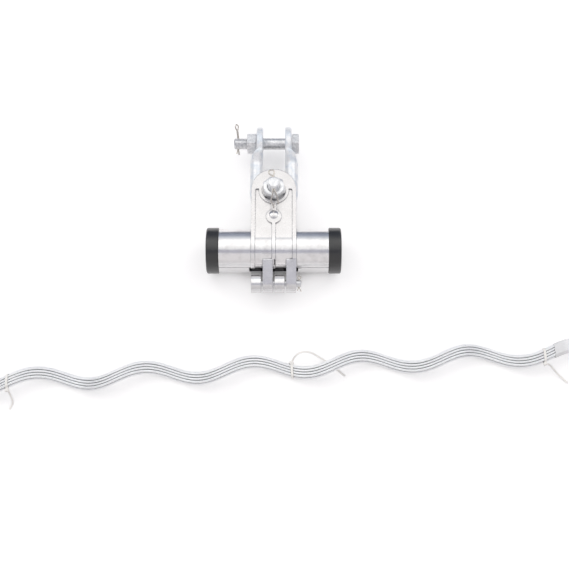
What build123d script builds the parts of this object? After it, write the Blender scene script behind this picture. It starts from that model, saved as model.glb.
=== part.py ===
from build123d import *
import math
import os

# Preformed suspension clamp with its set of armour rods, laid out on a flat surface.
# X runs along the cable, Y from the hinge towards the shackle and Z up from the surface.
# The origin is the middle of the bore that grips the rods. Millimetres and degrees.

# Armour rods: equal helical wires, nested side by side in one bundle
rod_diameter = 3.4
rod_helix_radius = 9.0
rod_pitch = 141.5
rod_turns = 5.5
rod_runs_per_turn = 8
rod_sides = 5
rod_rows = (4, 5, 4)
rod_gap = 0.04
bundle_start_x = -374.3
bundle_axis_y = -158.5
bundle_slope = 3.1

# Nylon ties and the tape on the bundle. A tie's place is counted in straight runs from the left end.
tie_places = {"tie_left": 1.63, "tie_middle": 22.55, "tie_right": 41.25}
tie_head_sides = {"tie_left": -1, "tie_middle": 1, "tie_right": -1}
tie_clearance = 0.15
tie_thickness = 1.0
tie_width = 3.4
tie_head_width = 5.6
tie_head_height = 4.2
tie_tail_width = 2.6
tape_clearance = 0.2
tape_thickness = 0.5
tape_runs = 2
tape_end_margin = 5.0

# Rubber liner
liner_radius = 24.8
liner_split = 0.3
rim_radius = 31.0
rim_width = 16.4
rim_corner = 2.2
rim_gap = 0.2
bell_length = 6.0
bell_depth = 4.0
bore_cut = 0.5
liner_sides = 16

# Cast housing
barrel_length = 147.0
barrel_radius = 29.4
liner_clearance = 0.15
cast_hole_sides = 24
plate_width = 60.0
plate_top_shift = 2.5
band_radius = 30.8
rib_height = 1.9
rim_rib_width = 5.0
centre_rib_width = 4.6
bolt_boss_radius = 20.0
button_boss_radius = 10.3
button_radius = 6.6
button_height = 2.4
button_sides = 16
button_ring_heights = (0.0, 0.5, 0.9)
button_y = 38.6
boss_neck_width = 7.0
pocket_corner = 2.2
plate_face_at_bolt = 25.5
nut_seat_z = 25.0
nut_seat_radius = 16.4
slot_half_width = 10.5
slot_floor_y = 38.0
slot_floor_corner = 7.0
split_gap = 0.5
lap_height = 9.0
hinge_recess = 2.0

# Hinge
hinge_y = -47.4
knuckle_radius = 12.5
knuckle_sides = 24
lug_gap = 2.4
lug_face_angle = 43.0
hinge_pin_radius = 5.0
hinge_pin_clearance = 0.06
hinge_head_radius = 7.5
hinge_head_thickness = 3.5
hinge_head_clearance = 0.3
hinge_pin_stub = 7.0
hinge_split_pin_inset = 3.4

# Bolts and nuts
bolt_radius = 8.0
across_flats = 27.0
head_height = 10.0
nut_height = 13.0
corner_chamfer_angle = 30.0
nut_hole_sides = 24
nut_thread_clearance = 0.04
plate_hole_clearance = 0.3
housing_bolt_y = 78.1
housing_bolt_length = 72.0
head_pocket_clearance = 0.3
housing_nut_turn = 40.0

# Shackle
shackle_bar_radius = 9.0
shackle_bar_sides = 16
shackle_bend_runs = 9
shackle_inner_radius = 15.2
shackle_bolt_gap = 0.3
shackle_bolt_y = 161.0
shackle_bolt_turn = 22.0
ear_thickness = 9.3
ear_radius = 23.0
ear_sides = 32
ear_crown = 3.0
bar_end_y = 127.0
neck_middle_y = 138.5
neck_middle_thickness = 15.5
ear_neck_width = 35.0
ear_neck_squareness = 0.4
ear_hole_clearance = 0.08
ear_side_clearance = 0.25
shackle_bolt_length = 80.5

# Split pins. A leg's points are (sideways, down, back) from where its strand leaves the bolt.
wire_radius = 1.0
wire_gap = 0.05
split_pin_hole_clearance = 0.2
split_pin_inset = 5.5
eye_radius = 4.0
housing_pin_stand_off = 3.3
housing_pin_lean = -19.0
housing_pin_left_leg = (0.0, 1.0, 0.0), (0.7, 7.5, 2.0), (2.6, 14.5, 6.0), (0.2, 18.5, 8.5), (-1.2, 23.0, 11.0)
housing_pin_right_leg = (0.0, 1.0, 0.0), (2.6, 7.0, 2.0), (4.4, 13.0, 5.0), (5.2, 18.5, 8.5)
shackle_pin_turn = 60.0
shackle_pin_stand_off = 9.5
shackle_pin_lean = -12.0
shackle_pin_left_leg = (0.0, 1.0, 0.0), (1.5, 3.5, 0.0), (2.5, 6.0, 0.0)
shackle_pin_right_leg = (0.0, 1.0, 0.0), (1.0, 4.0, 0.0), (1.5, 7.0, 0.0)
hinge_split_pin_stand_off = 0.5
hinge_split_pin_lean = 8.0
hinge_split_pin_left_leg = (0.0, 0.8, 0.0), (0.8, 3.2, 0.0), (1.2, 5.4, 0.0)
hinge_split_pin_right_leg = (0.0, 0.8, 0.0), (1.2, 3.6, 0.0), (2.2, 6.2, 0.0)
small_wire_radius = 0.7
small_eye_radius = 2.2
wire_sides = 5

# Worked out from the sizes above
rod_radius = rod_diameter / 2
bore_radius = rod_helix_radius + rod_radius
lay_angle = math.degrees(math.atan2(2 * math.pi * rod_helix_radius, rod_pitch))
rod_spacing = rod_diameter / math.cos(math.radians(lay_angle)) + rod_gap
row_spacing = rod_spacing * math.sin(math.pi / 3)
bundle_half_height = row_spacing * (len(rod_rows) - 1) / 2 + rod_radius
rod_run = rod_pitch / rod_runs_per_turn
bundle_axis_z = bundle_half_height + rod_helix_radius - rim_radius
bundle_axis_start_y = bundle_axis_y + bundle_start_x * math.tan(math.radians(bundle_slope))
bundle_place = Location((bundle_start_x, bundle_axis_start_y, bundle_axis_z), (0, 0, bundle_slope))
barrel_bore_radius = liner_radius + liner_clearance
lug_width = (plate_width - 3 * lug_gap) / 4
plate_top_centre_y = housing_bolt_y + plate_top_shift
plate_top_y = plate_top_centre_y + plate_width / 2
face_reach = math.hypot(housing_bolt_y, plate_face_at_bolt)
face_lean = math.asin(band_radius / face_reach) - math.atan2(plate_face_at_bolt, housing_bolt_y)
head_seat_z = rim_radius - head_height
bend_centre_y = housing_bolt_y - bolt_radius - shackle_bolt_gap + shackle_inner_radius
shackle_leg_x = shackle_inner_radius + shackle_bar_radius
ear_face_x = shackle_inner_radius + ear_thickness
ear_start_y = shackle_bolt_y - across_flats / math.sqrt(3)
shackle_bolt_place = Pos(0, shackle_bolt_y, 0) * Rot(X=shackle_bolt_turn)
split_pin_hole_radius = 2 * wire_radius + wire_gap / 2 + split_pin_hole_clearance
small_pin_hole_radius = 2 * small_wire_radius + wire_gap / 2 + split_pin_hole_clearance


def side_view(sketch):
    """A sketch drawn as Y across and Z up, stood in the plane across the cable."""
    return Plane.YZ * sketch


def along_cable(sketch, width):
    """Extrudes a side-view sketch to both sides of the middle."""
    return extrude(side_view(sketch), amount=width / 2, both=True)


def bundle_centre(distance):
    """The middle of the bundle in its own frame, at a distance along its axis. The lay is left-handed."""
    turn = 2 * math.pi * distance / rod_pitch
    return Vector(distance, -rod_helix_radius * math.cos(turn), rod_helix_radius * math.sin(turn))


def rod_offsets():
    """Where each rod lies in the bundle's section, row by row from the lowest."""
    offsets = []
    for row, count in enumerate(rod_rows):
        height = (row - (len(rod_rows) - 1) / 2) * row_spacing
        for index in range(count):
            offsets.append(((index - (count - 1) / 2) * rod_spacing, height))
    return offsets


def swept_runs(points, section, up=Vector(0, 0, 1)):
    """Sweeps a section along straight runs with mitred corners. The section's Y points up."""
    along = (points[1] - points[0]).normalized()
    start = Plane(origin=points[0], x_dir=up.cross(along), z_dir=along)
    return sweep(start * section, path=Polyline(*points), transition=Transition.RIGHT)


def ring(plane, half_width, half_height, sides, squareness=1.0):
    """The corners of a many-sided ring in a plane, squarer the smaller the last figure is."""
    corners = []
    for side in range(sides):
        turn = 2 * math.pi * (side + 0.5) / sides
        across = math.copysign(abs(math.cos(turn)) ** squareness, math.cos(turn))
        up = math.copysign(abs(math.sin(turn)) ** squareness, math.sin(turn))
        corners.append(plane.from_local_coords(Vector(half_width * across, half_height * up)))
    return corners


def faceted_loft(sections):
    """A solid of flat triangles through closed sections that have equal numbers of corners."""
    faces = [Face(Wire.make_polygon(section, close=True)) for section in (sections[0], sections[-1])]
    for low, high in zip(sections, sections[1:]):
        for index, corner in enumerate(low):
            after = (index + 1) % len(low)
            faces.append(Face(Wire.make_polygon([corner, low[after], high[after]], close=True)))
            faces.append(Face(Wire.make_polygon([corner, high[after], high[index]], close=True)))
    return Solid(Shell(faces))


def armor_rod(across, up):
    """One preformed rod: a wire that follows the helix in straight runs, shifted to its own place."""
    last = round(rod_turns * rod_runs_per_turn)
    corners = [bundle_centre(step * rod_run) + Vector(0, across, up) for step in range(last + 1)]
    return bundle_place * swept_runs(corners, RegularPolygon(rod_radius, rod_sides))


def bundle_outline(section, radius):
    """The six-sided outline of the bundle in a section plane, a radius outside its outer rods' middles."""
    height = (len(rod_rows) - 1) / 2 * row_spacing
    middle = (max(rod_rows) - 1) / 2 * rod_spacing
    outer = (rod_rows[0] - 1) / 2 * rod_spacing
    half = [(middle, 0), (outer, height), (-outer, height)]
    corners = half + [(-across, -up) for across, up in half]
    shifts = [Vector(0, across, up) for across, up in corners]
    flat = [(shift.dot(section.x_dir), shift.dot(section.y_dir)) for shift in shifts]
    return offset(Polygon(*flat, align=None), amount=radius, kind=Kind.INTERSECTION)


def tie_seat(place):
    """The plane square to the bundle at a place that is counted in its straight runs."""
    run = math.floor(place)
    start = bundle_centre(run * rod_run)
    end = bundle_centre((run + 1) * rod_run)
    along = (end - start).normalized()
    across = Vector(0, 1, 0) - along * along.Y
    return Plane(origin=start + (end - start) * (place - run), x_dir=across, z_dir=along)


def cable_tie(place, head_side, tail_points):
    """A nylon tie: the band round the bundle, its head at one side and its untrimmed tail."""
    seat = tie_seat(place)
    inner = bundle_outline(seat, rod_radius + tie_clearance)
    outer = bundle_outline(seat, rod_radius + tie_clearance + tie_thickness)
    head_middle = head_side * (inner.bounding_box().max.X + tie_head_height / 2)
    head = Pos(head_middle, 0) * Rectangle(tie_head_height, tie_head_width) - inner
    band = extrude(seat * (outer - inner), amount=tie_width / 2, both=True)
    block = extrude(seat * head, amount=tie_head_width / 2, both=True)
    head_point = (bundle_place * seat.location * Pos(head_middle, 0)).position
    floor_z = -rim_radius - bundle_axis_z
    route = [head_point]
    for along, across, height in tail_points:
        route.append((bundle_place * Pos(place * rod_run + along, across, floor_z + height)).position)
    tail = swept_runs(route, Rectangle(tie_tail_width, tie_thickness))
    return bundle_place * (band + block) + tail


def tape_run(step, share, radius):
    """The bundle's outline carried along one straight run, or a share of it."""
    start = bundle_centre(step * rod_run)
    end = start + (bundle_centre((step + 1) * rod_run) - start) * share
    planes = [Plane(origin=point, x_dir=(0, 1, 0), z_dir=(1, 0, 0)) for point in (start, end)]
    return loft([plane * bundle_outline(plane, radius) for plane in planes], ruled=True)


def end_tape():
    """The bare tape round the last runs of the bundle, short of the rods' ends."""
    inner_radius = rod_radius / math.cos(math.radians(lay_angle)) + tape_clearance
    outer_radius = inner_radius + tape_thickness
    last = round(rod_turns * rod_runs_per_turn)
    tape = []
    for step in range(last - tape_runs, last):
        share = 1.0 if step < last - 1 else 1 - tape_end_margin / rod_run
        tape.append(tape_run(step, share, outer_radius) - tape_run(step, share, inner_radius))
    return bundle_place * (tape[0] + tape[1:])


def housing_side(radius):
    """The casting's side view above the middle: round the barrel, then leaning in to the plate's top."""
    lowest = -radius
    touch = (radius * math.sin(face_lean), radius * math.cos(face_lean))
    top_y = plate_top_y + rib_height
    top_z = (radius - top_y * math.sin(face_lean)) / math.cos(face_lean)
    corner = slot_floor_corner
    bend = corner * (1 - math.sqrt(0.5))
    outline = [
        Line((lowest, 0), (0, 0)),
        Line((0, 0), (slot_floor_y, 0)),
        Line((slot_floor_y, 0), (slot_floor_y, slot_half_width - corner)),
        ThreePointArc(
            (slot_floor_y, slot_half_width - corner),
            (slot_floor_y + bend, slot_half_width - bend),
            (slot_floor_y + corner, slot_half_width)),
        Line((slot_floor_y + corner, slot_half_width), (top_y, slot_half_width)),
        Line((top_y, slot_half_width), (top_y, top_z)),
        Line((top_y, top_z), touch),
        ThreePointArc(touch, (-radius * math.sqrt(0.5), radius * math.sqrt(0.5)), (lowest, 0)),
    ]
    return make_face(outline)


def plate_outline():
    """The plate seen from above: straight sides and a round top a little beyond the bolt."""
    low_y = -band_radius - 1
    straight = Pos(0, (low_y + plate_top_centre_y) / 2) * Rectangle(plate_width, plate_top_centre_y - low_y)
    return straight + Pos(0, plate_top_centre_y) * Circle(plate_width / 2)


def pocket_outlines():
    """The two sunk panels beside the centre rib, bounded by the rim, the bosses and their neck."""
    low_y = -band_radius - 2
    outer_x = plate_width / 2 - rim_rib_width
    high_y = housing_bolt_y + pocket_corner
    panel_width = outer_x - centre_rib_width / 2
    panel_x = outer_x - panel_width / 2
    neck_height = housing_bolt_y - button_y
    bosses = (
        Pos(0, housing_bolt_y) * Circle(bolt_boss_radius)
        + Pos(0, button_y) * Circle(button_boss_radius)
        + Pos(0, button_y + neck_height / 2) * Rectangle(boss_neck_width, neck_height))
    panels = []
    for side in (-1, 1):
        panel = Pos(side * panel_x, (low_y + high_y) / 2) * Rectangle(panel_width, high_y - low_y)
        top_corners = panel.vertices().group_by(Axis.Y)[-1]
        panels.append(fillet(top_corners, radius=pocket_corner) - bosses)
    return panels


def plate_and_band():
    """The ribbed plate and the band that carries it on round the barrel."""
    above = 2 * rim_radius
    solid = along_cable(housing_side(band_radius), plate_width)
    solid = solid & extrude(plate_outline(), amount=above)
    sunk = along_cable(housing_side(band_radius - rib_height), plate_width)
    for panel in pocket_outlines():
        solid = solid - (extrude(panel, amount=above) - sunk)
    return solid


def face_button():
    """The small domed button on the lower boss, built up in flat facets."""
    ball = (button_radius ** 2 + button_height ** 2) / (2 * button_height)
    rings = [ring(Plane.XY.offset(-button_height), button_radius, button_radius, button_sides)]
    for share in button_ring_heights:
        height = share * button_height
        radius = math.sqrt(ball ** 2 - (ball - button_height + height) ** 2)
        rings.append(ring(Plane.XY.offset(height), radius, radius, button_sides))
    return Rot(X=-math.degrees(face_lean)) * Pos(0, button_y, band_radius) * faceted_loft(rings)


def hinge_lug(column):
    """One hinge lug: a knuckle round the pin and a web with a flat outer face up to the band."""
    angle = math.radians(lug_face_angle)
    start = Vector(-band_radius * math.sin(angle), band_radius * math.cos(angle))
    centre = Vector(hinge_y, 0)
    to_start = start - centre
    turn = math.acos(knuckle_radius / to_start.length)
    heading = math.atan2(to_start.Y, to_start.X) + turn
    touch = centre + Vector(math.cos(heading), math.sin(heading)) * knuckle_radius
    web = Polygon((0, 0), (start.X, start.Y), (touch.X, touch.Y), (hinge_y, 0), align=None)
    profile = web + Pos(hinge_y, 0) * RegularPolygon(knuckle_radius, knuckle_sides)
    left = -plate_width / 2 + column * (lug_width + lug_gap)
    return Pos(left, 0, 0) * extrude(side_view(profile), amount=lug_width)


def kept_space(side_edge, band_edge):
    """The space on one half's side of the joint face, stepped below the bore."""
    reach = 4 * rim_radius
    upper = Pos(0, reach / 2, split_gap / 2 + reach / 2) * Box(2 * reach, reach, reach)
    low_side = Pos(0, -reach / 2, side_edge + reach / 2) * Box(2 * reach, reach, reach)
    if band_edge == side_edge:
        return upper + low_side
    band_width = plate_width + 2 * lug_gap
    notch = Pos(0, -reach / 2, band_edge - reach / 2) * Box(band_width, reach, reach)
    return upper + (low_side - notch)


def housing_half(columns, side_edge, band_edge):
    """One casting, drawn with its plate upwards."""
    barrel = Rot(Y=90) * Cylinder(barrel_radius, barrel_length)
    casting = (barrel + plate_and_band()) & kept_space(side_edge, band_edge)
    for column in columns:
        casting = casting + hinge_lug(column)
    casting = casting - Rot(Y=90) * Cylinder(barrel_bore_radius, 2 * barrel_length)
    hole = RegularPolygon(bolt_radius + plate_hole_clearance, cast_hole_sides, major_radius=False)
    casting = casting - Pos(0, housing_bolt_y) * extrude(hole, amount=rim_radius)
    pin_hole = Cylinder(hinge_pin_radius + hinge_pin_clearance, 2 * plate_width)
    return casting - Pos(0, hinge_y, 0) * Rot(Y=90) * pin_hole


def front_housing():
    """The upper casting, with the button, the nut's seat and the second and fourth lugs."""
    lower_edge = lap_height + split_gap / 2
    casting = housing_half((1, 3), lower_edge, lower_edge) + face_button()
    seat = extrude(RegularPolygon(nut_seat_radius, cast_hole_sides), amount=rim_radius)
    return casting - Pos(0, housing_bolt_y, nut_seat_z) * seat


def back_housing():
    """The lower casting, with the seat of the bolt's head and the first and third lugs."""
    casting = housing_half((0, 2), split_gap / 2 - lap_height, hinge_recess)
    pocket_width = across_flats + 2 * head_pocket_clearance
    pocket = extrude(hexagon(pocket_width), amount=rim_radius)
    casting = casting - Pos(0, housing_bolt_y, head_seat_z) * pocket
    recess_outline = RegularPolygon(hinge_head_radius + hinge_head_clearance, cast_hole_sides)
    recess = extrude(recess_outline, amount=hinge_head_thickness + hinge_head_clearance)
    casting = casting - Pos(-plate_width / 2, hinge_y, 0) * Rot(Y=90) * recess
    return mirror(casting, about=Plane.XY)


def liner_half():
    """Half of the rubber liner: the sleeve in the barrel, a bevelled rim at each end, a belled bore."""
    rim_start = barrel_length / 2 + rim_gap
    end = rim_start + rim_width
    bell_run = bell_length * (1 + bore_cut / bell_depth)
    right = [
        (end - bell_run, bore_radius - bore_cut), (end, bore_radius + bell_depth),
        (end, rim_radius - rim_corner), (end - rim_corner, rim_radius),
        (rim_start, rim_radius), (rim_start, liner_radius)]
    outline = right + [(-x, radius) for x, radius in reversed(right)]
    sections = []
    for step in range(liner_sides + 1):
        turn = math.pi * step / liner_sides
        section = [Vector(x, radius * math.cos(turn), radius * math.sin(turn)) for x, radius in outline]
        sections.append(section)
    reach = 2 * end
    kept = Pos(0, 0, liner_split / 2 + reach / 2) * Box(2 * reach, reach, reach)
    return (faceted_loft(sections) & kept) - Rot(Y=90) * Cylinder(bore_radius, 2 * reach)


def hexagon(width):
    """A hexagon of a width across its flats, with a corner on the X axis."""
    return RegularPolygon(width / math.sqrt(3), 6)


def chamfered_hexagon(height):
    """A hexagonal block from Z = 0 up, its upper corners cut off by a flat facet each."""
    to_corner = 1 / math.cos(math.pi / 6)
    top = across_flats / 2 * to_corner
    foot = top + height / math.tan(math.radians(corner_chamfer_angle)) * to_corner
    corner_facets = faceted_loft([ring(Plane.XY, foot, foot, 6), ring(Plane.XY.offset(height), top, top, 6)])
    return extrude(hexagon(across_flats), amount=height) & corner_facets


def hex_bolt(length):
    """A bolt with its head below Z = 0, its shank up to the length, and a hole for its split pin."""
    head = mirror(chamfered_hexagon(head_height), about=Plane.XY)
    shank = Pos(0, 0, length / 2) * Cylinder(bolt_radius, length)
    pin_hole = Rot(X=90) * Cylinder(split_pin_hole_radius, 4 * bolt_radius)
    return head + shank - Pos(0, 0, length - split_pin_inset) * pin_hole


def hex_nut():
    """A nut standing on Z = 0, its corners cut off at both ends."""
    block = chamfered_hexagon(nut_height)
    block = block & mirror(block, about=Plane.XY.offset(nut_height / 2))
    hole = RegularPolygon(bolt_radius + nut_thread_clearance, nut_hole_sides, major_radius=False)
    return block - extrude(hole, amount=nut_height)


def split_pin(wire, eye, bore, left_leg, right_leg, stand_off, lean):
    """A split pin with its eye up Z, its legs down and its flat in the XZ plane.

    The bore is the radius of the bolt it goes through. The eye's neck stands off the bolt by a length, and
    leans towards +X by an angle from where it leaves the bolt.
    """
    strand = wire + wire_gap / 2
    neck = wire + stand_off
    eye_height = neck + eye + wire
    eye_turns = [math.radians(degrees) for degrees in (210, 150, 90, 30, -30)]
    outside = [(-strand, neck)]
    outside += [(eye * math.cos(turn), eye_height + eye * math.sin(turn)) for turn in eye_turns]
    outside += [(strand, neck)]
    lean_turn = math.radians(lean)
    corner = strand * math.tan(lean_turn / 2)
    path = [Vector(-strand - out, back, -bore - down) for out, down, back in reversed(left_leg)]
    path += [Vector(-strand, 0, bore + corner)]
    for across, height in outside:
        leaned_across = across * math.cos(lean_turn) + height * math.sin(lean_turn)
        leaned_height = height * math.cos(lean_turn) - across * math.sin(lean_turn)
        path += [Vector(leaned_across, 0, bore + leaned_height)]
    path += [Vector(strand, 0, bore - corner)]
    path += [Vector(strand + out, back, -bore - down) for out, down, back in right_leg]
    return swept_runs(path, RegularPolygon(wire, wire_sides), up=Vector(0, 1, 0))


def housing_bolt():
    """The bolt that closes the plates, its head in the back plate's seat."""
    return Pos(0, housing_bolt_y, -head_seat_z) * hex_bolt(housing_bolt_length)


def housing_nut():
    """The nut on the front plate's seat."""
    return Pos(0, housing_bolt_y, nut_seat_z) * Rot(Z=housing_nut_turn) * hex_nut()


def housing_split_pin():
    """The split pin in the housing bolt's end, its eye towards the shackle."""
    pin = split_pin(
        wire_radius, eye_radius, bolt_radius, housing_pin_left_leg, housing_pin_right_leg,
        housing_pin_stand_off, housing_pin_lean)
    pin_z = housing_bolt_length - head_seat_z - split_pin_inset
    return Pos(0, housing_bolt_y, pin_z) * Rot(X=-90) * pin


def hinge_pin():
    """The headed pin through the four lugs, with a hole for its split pin."""
    half = plate_width / 2
    shank_length = plate_width - hinge_head_thickness + hinge_pin_stub
    shank = Pos(-half + hinge_head_thickness + shank_length / 2) * Rot(Y=90) * Cylinder(
        hinge_pin_radius, shank_length)
    disc = RegularPolygon(hinge_head_radius, cast_hole_sides)
    head = Pos(-half) * Rot(Y=90) * extrude(disc, amount=hinge_head_thickness)
    hole = Rot(X=90) * Cylinder(small_pin_hole_radius, 4 * hinge_pin_radius)
    pin = head + shank - Pos(half + hinge_pin_stub - hinge_split_pin_inset) * hole
    return Pos(0, hinge_y, 0) * pin


def hinge_split_pin():
    """The small split pin in the hinge pin's free end."""
    pin = split_pin(
        small_wire_radius, small_eye_radius, hinge_pin_radius, hinge_split_pin_left_leg,
        hinge_split_pin_right_leg, hinge_split_pin_stand_off, hinge_split_pin_lean)
    pin_x = plate_width / 2 + hinge_pin_stub - hinge_split_pin_inset
    return Pos(pin_x, hinge_y, 0) * Rot(X=-90) * pin


def shackle():
    """The forged shackle: a bent round bar whose ends are flattened into two ears."""
    reach = shackle_leg_x / math.cos(math.pi / 2 / shackle_bend_runs)
    route = [Vector(-shackle_leg_x, bar_end_y, 0)]
    for step in range(shackle_bend_runs):
        turn = math.pi * (1 + (step + 0.5) / shackle_bend_runs)
        route.append(Vector(reach * math.cos(turn), bend_centre_y + reach * math.sin(turn), 0))
    route.append(Vector(shackle_leg_x, bar_end_y, 0))
    section = RegularPolygon(shackle_bar_radius, shackle_bar_sides, rotation=180 / shackle_bar_sides)
    body = swept_runs(route, section) + shackle_ear() + mirror(shackle_ear(), about=Plane.YZ)
    hole = Rot(Y=90) * Cylinder(bolt_radius + ear_hole_clearance, 4 * ear_face_x)
    return body - Pos(0, shackle_bolt_y, 0) * hole


def neck_ring(y, thickness, width, squareness):
    """A section of the right leg as it flattens, with its inner side in line with the bar's."""
    plane = Plane(origin=(shackle_inner_radius + thickness / 2, y, 0), x_dir=(1, 0, 0), z_dir=(0, 1, 0))
    return ring(plane, thickness / 2, width / 2, shackle_bar_sides, squareness)


def shackle_ear():
    """The right ear and the part that flattens into it: its inner side is straight, its outer slopes in."""
    middle_share = (neck_middle_y - bar_end_y) / (ear_start_y - bar_end_y)
    flattening = faceted_loft([
        neck_ring(bar_end_y, 2 * shackle_bar_radius, 2 * shackle_bar_radius, 1.0),
        neck_ring(
            neck_middle_y, neck_middle_thickness,
            2 * shackle_bar_radius + (ear_neck_width - 2 * shackle_bar_radius) * middle_share,
            1 - (1 - ear_neck_squareness) * middle_share),
        neck_ring(ear_start_y, ear_thickness, ear_neck_width, ear_neck_squareness)])
    disc = Plane(origin=(shackle_inner_radius, shackle_bolt_y, 0), x_dir=(0, 1, 0), z_dir=(1, 0, 0))
    crown_radius = ear_radius - ear_crown
    ear = faceted_loft([
        ring(disc, ear_radius, ear_radius, ear_sides),
        ring(disc.offset(ear_thickness - ear_crown), ear_radius, ear_radius, ear_sides),
        ring(disc.offset(ear_thickness), crown_radius, crown_radius, ear_sides)])
    return ear + flattening


def shackle_bolt():
    """The bolt across the ears, with its head on the right."""
    head_face = ear_face_x + ear_side_clearance
    return shackle_bolt_place * Pos(head_face, 0, 0) * Rot(Y=-90) * hex_bolt(shackle_bolt_length)


def shackle_nut():
    """The nut beside the left ear."""
    nut_face = -ear_face_x - ear_side_clearance
    return shackle_bolt_place * Pos(nut_face, 0, 0) * Rot(Y=-90) * hex_nut()


def shackle_split_pin():
    """The split pin in the shackle bolt's end, its eye standing up and away from the clamp."""
    pin = split_pin(
        wire_radius, eye_radius, bolt_radius, shackle_pin_left_leg, shackle_pin_right_leg,
        shackle_pin_stand_off, shackle_pin_lean)
    pin_x = ear_face_x + ear_side_clearance - shackle_bolt_length + split_pin_inset
    return shackle_bolt_place * Pos(pin_x, 0, 0) * Rot(X=-90) * Rot(Z=shackle_pin_turn) * pin


# The route of each tie's tail beyond its head, chosen by hand: along the bundle from the tie, across it
# from its axis, and above the surface that it lies on
tie_tails = {
    "tie_left": [(1, -16, 9), (3, -25, 1.5), (-1, -34, 0.6)],
    "tie_middle": [(5, 13.5, 14), (13, 18, 17), (25, 18.5, 13), (39, 12.5, 5), (55, 1, 0.8), (70, -13, 0.6)],
    "tie_right": [(8, -16, 12.5), (19, -26, 3.5), (31, -38, 0.7)],
}


def all_parts():
    """Every piece by its node name."""
    parts = {
        "front_housing": front_housing(),
        "back_housing": back_housing(),
        "front_insert": liner_half(),
        "back_insert": mirror(liner_half(), about=Plane.XY),
        "housing_bolt": housing_bolt(),
        "housing_nut": housing_nut(),
        "housing_split_pin": housing_split_pin(),
        "hinge_pin": hinge_pin(),
        "hinge_split_pin": hinge_split_pin(),
        "shackle": shackle(),
        "shackle_bolt": shackle_bolt(),
        "shackle_nut": shackle_nut(),
        "shackle_split_pin": shackle_split_pin(),
        "end_tape": end_tape(),
    }
    for number, (across, up) in enumerate(rod_offsets(), start=1):
        parts[f"armor_rod_{number:02d}"] = armor_rod(across, up)
    for name, place in tie_places.items():
        parts[name] = cable_tie(place, tie_head_sides[name], tie_tails[name])
    return parts


os.makedirs("parts", exist_ok=True)
for name, part in all_parts().items():
    export_step(part, f"parts/{name}.step")
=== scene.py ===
import logging
import math
from collections.abc import Callable, Sequence
from dataclasses import dataclass
from enum import Enum

import bmesh
import bpy
from mathutils import Matrix, Vector


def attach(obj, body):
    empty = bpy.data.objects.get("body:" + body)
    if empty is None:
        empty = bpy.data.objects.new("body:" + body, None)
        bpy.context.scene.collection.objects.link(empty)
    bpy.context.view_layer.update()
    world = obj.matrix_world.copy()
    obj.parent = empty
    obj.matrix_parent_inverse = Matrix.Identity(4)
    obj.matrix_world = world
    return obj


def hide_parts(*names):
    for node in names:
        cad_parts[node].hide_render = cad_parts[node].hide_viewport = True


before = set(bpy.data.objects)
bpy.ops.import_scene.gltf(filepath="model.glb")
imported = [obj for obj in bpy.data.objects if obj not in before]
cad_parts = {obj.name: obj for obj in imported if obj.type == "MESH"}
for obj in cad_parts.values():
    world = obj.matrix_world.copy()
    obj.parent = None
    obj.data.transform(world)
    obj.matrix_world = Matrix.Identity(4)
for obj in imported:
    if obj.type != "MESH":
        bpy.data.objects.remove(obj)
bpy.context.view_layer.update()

Triple = tuple[float, float, float]
Colour = tuple[float, float, float, float]

MM = 0.001
log = logging.getLogger("clamp")


# Shader sockets as Python values


class Value:
    """One shader output that can be used in plain arithmetic."""

    def __init__(self, shader: "Shader", socket: bpy.types.NodeSocket) -> None:
        """Keeps the socket and the material it belongs to."""
        self.shader = shader
        self.socket = socket

    def _math(self, operation: str, first: "Value | float", second: "Value | float") -> "Value":
        """Adds a Math node for two values."""
        return self.shader.node("Math", {"operation": operation}, {0: first, 1: second})

    def __add__(self, other: "Value | float") -> "Value":
        """self + other."""
        return self._math("ADD", self, other)

    def __sub__(self, other: "Value | float") -> "Value":
        """self - other."""
        return self._math("SUBTRACT", self, other)

    def __mul__(self, other: "Value | float") -> "Value":
        """self * other."""
        return self._math("MULTIPLY", self, other)

    def __rsub__(self, other: float) -> "Value":
        """other - self."""
        return self._math("SUBTRACT", other, self)

    __radd__ = __add__

    def larger(self, other: "Value | float") -> "Value":
        """The larger of two values."""
        return self._math("MAXIMUM", self, other)

    def ramp(self, low: float, high: float) -> "Value":
        """0 below low and 1 above high, with a soft step between.

        Args:
            low: the value at which the step starts.
            high: the value at which it ends.

        Returns:
            The stepped value.
        """
        return self.shader.node(
            "MapRange", {"interpolation_type": "SMOOTHSTEP"},
            {"Value": self, "From Min": low, "From Max": high})


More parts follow.
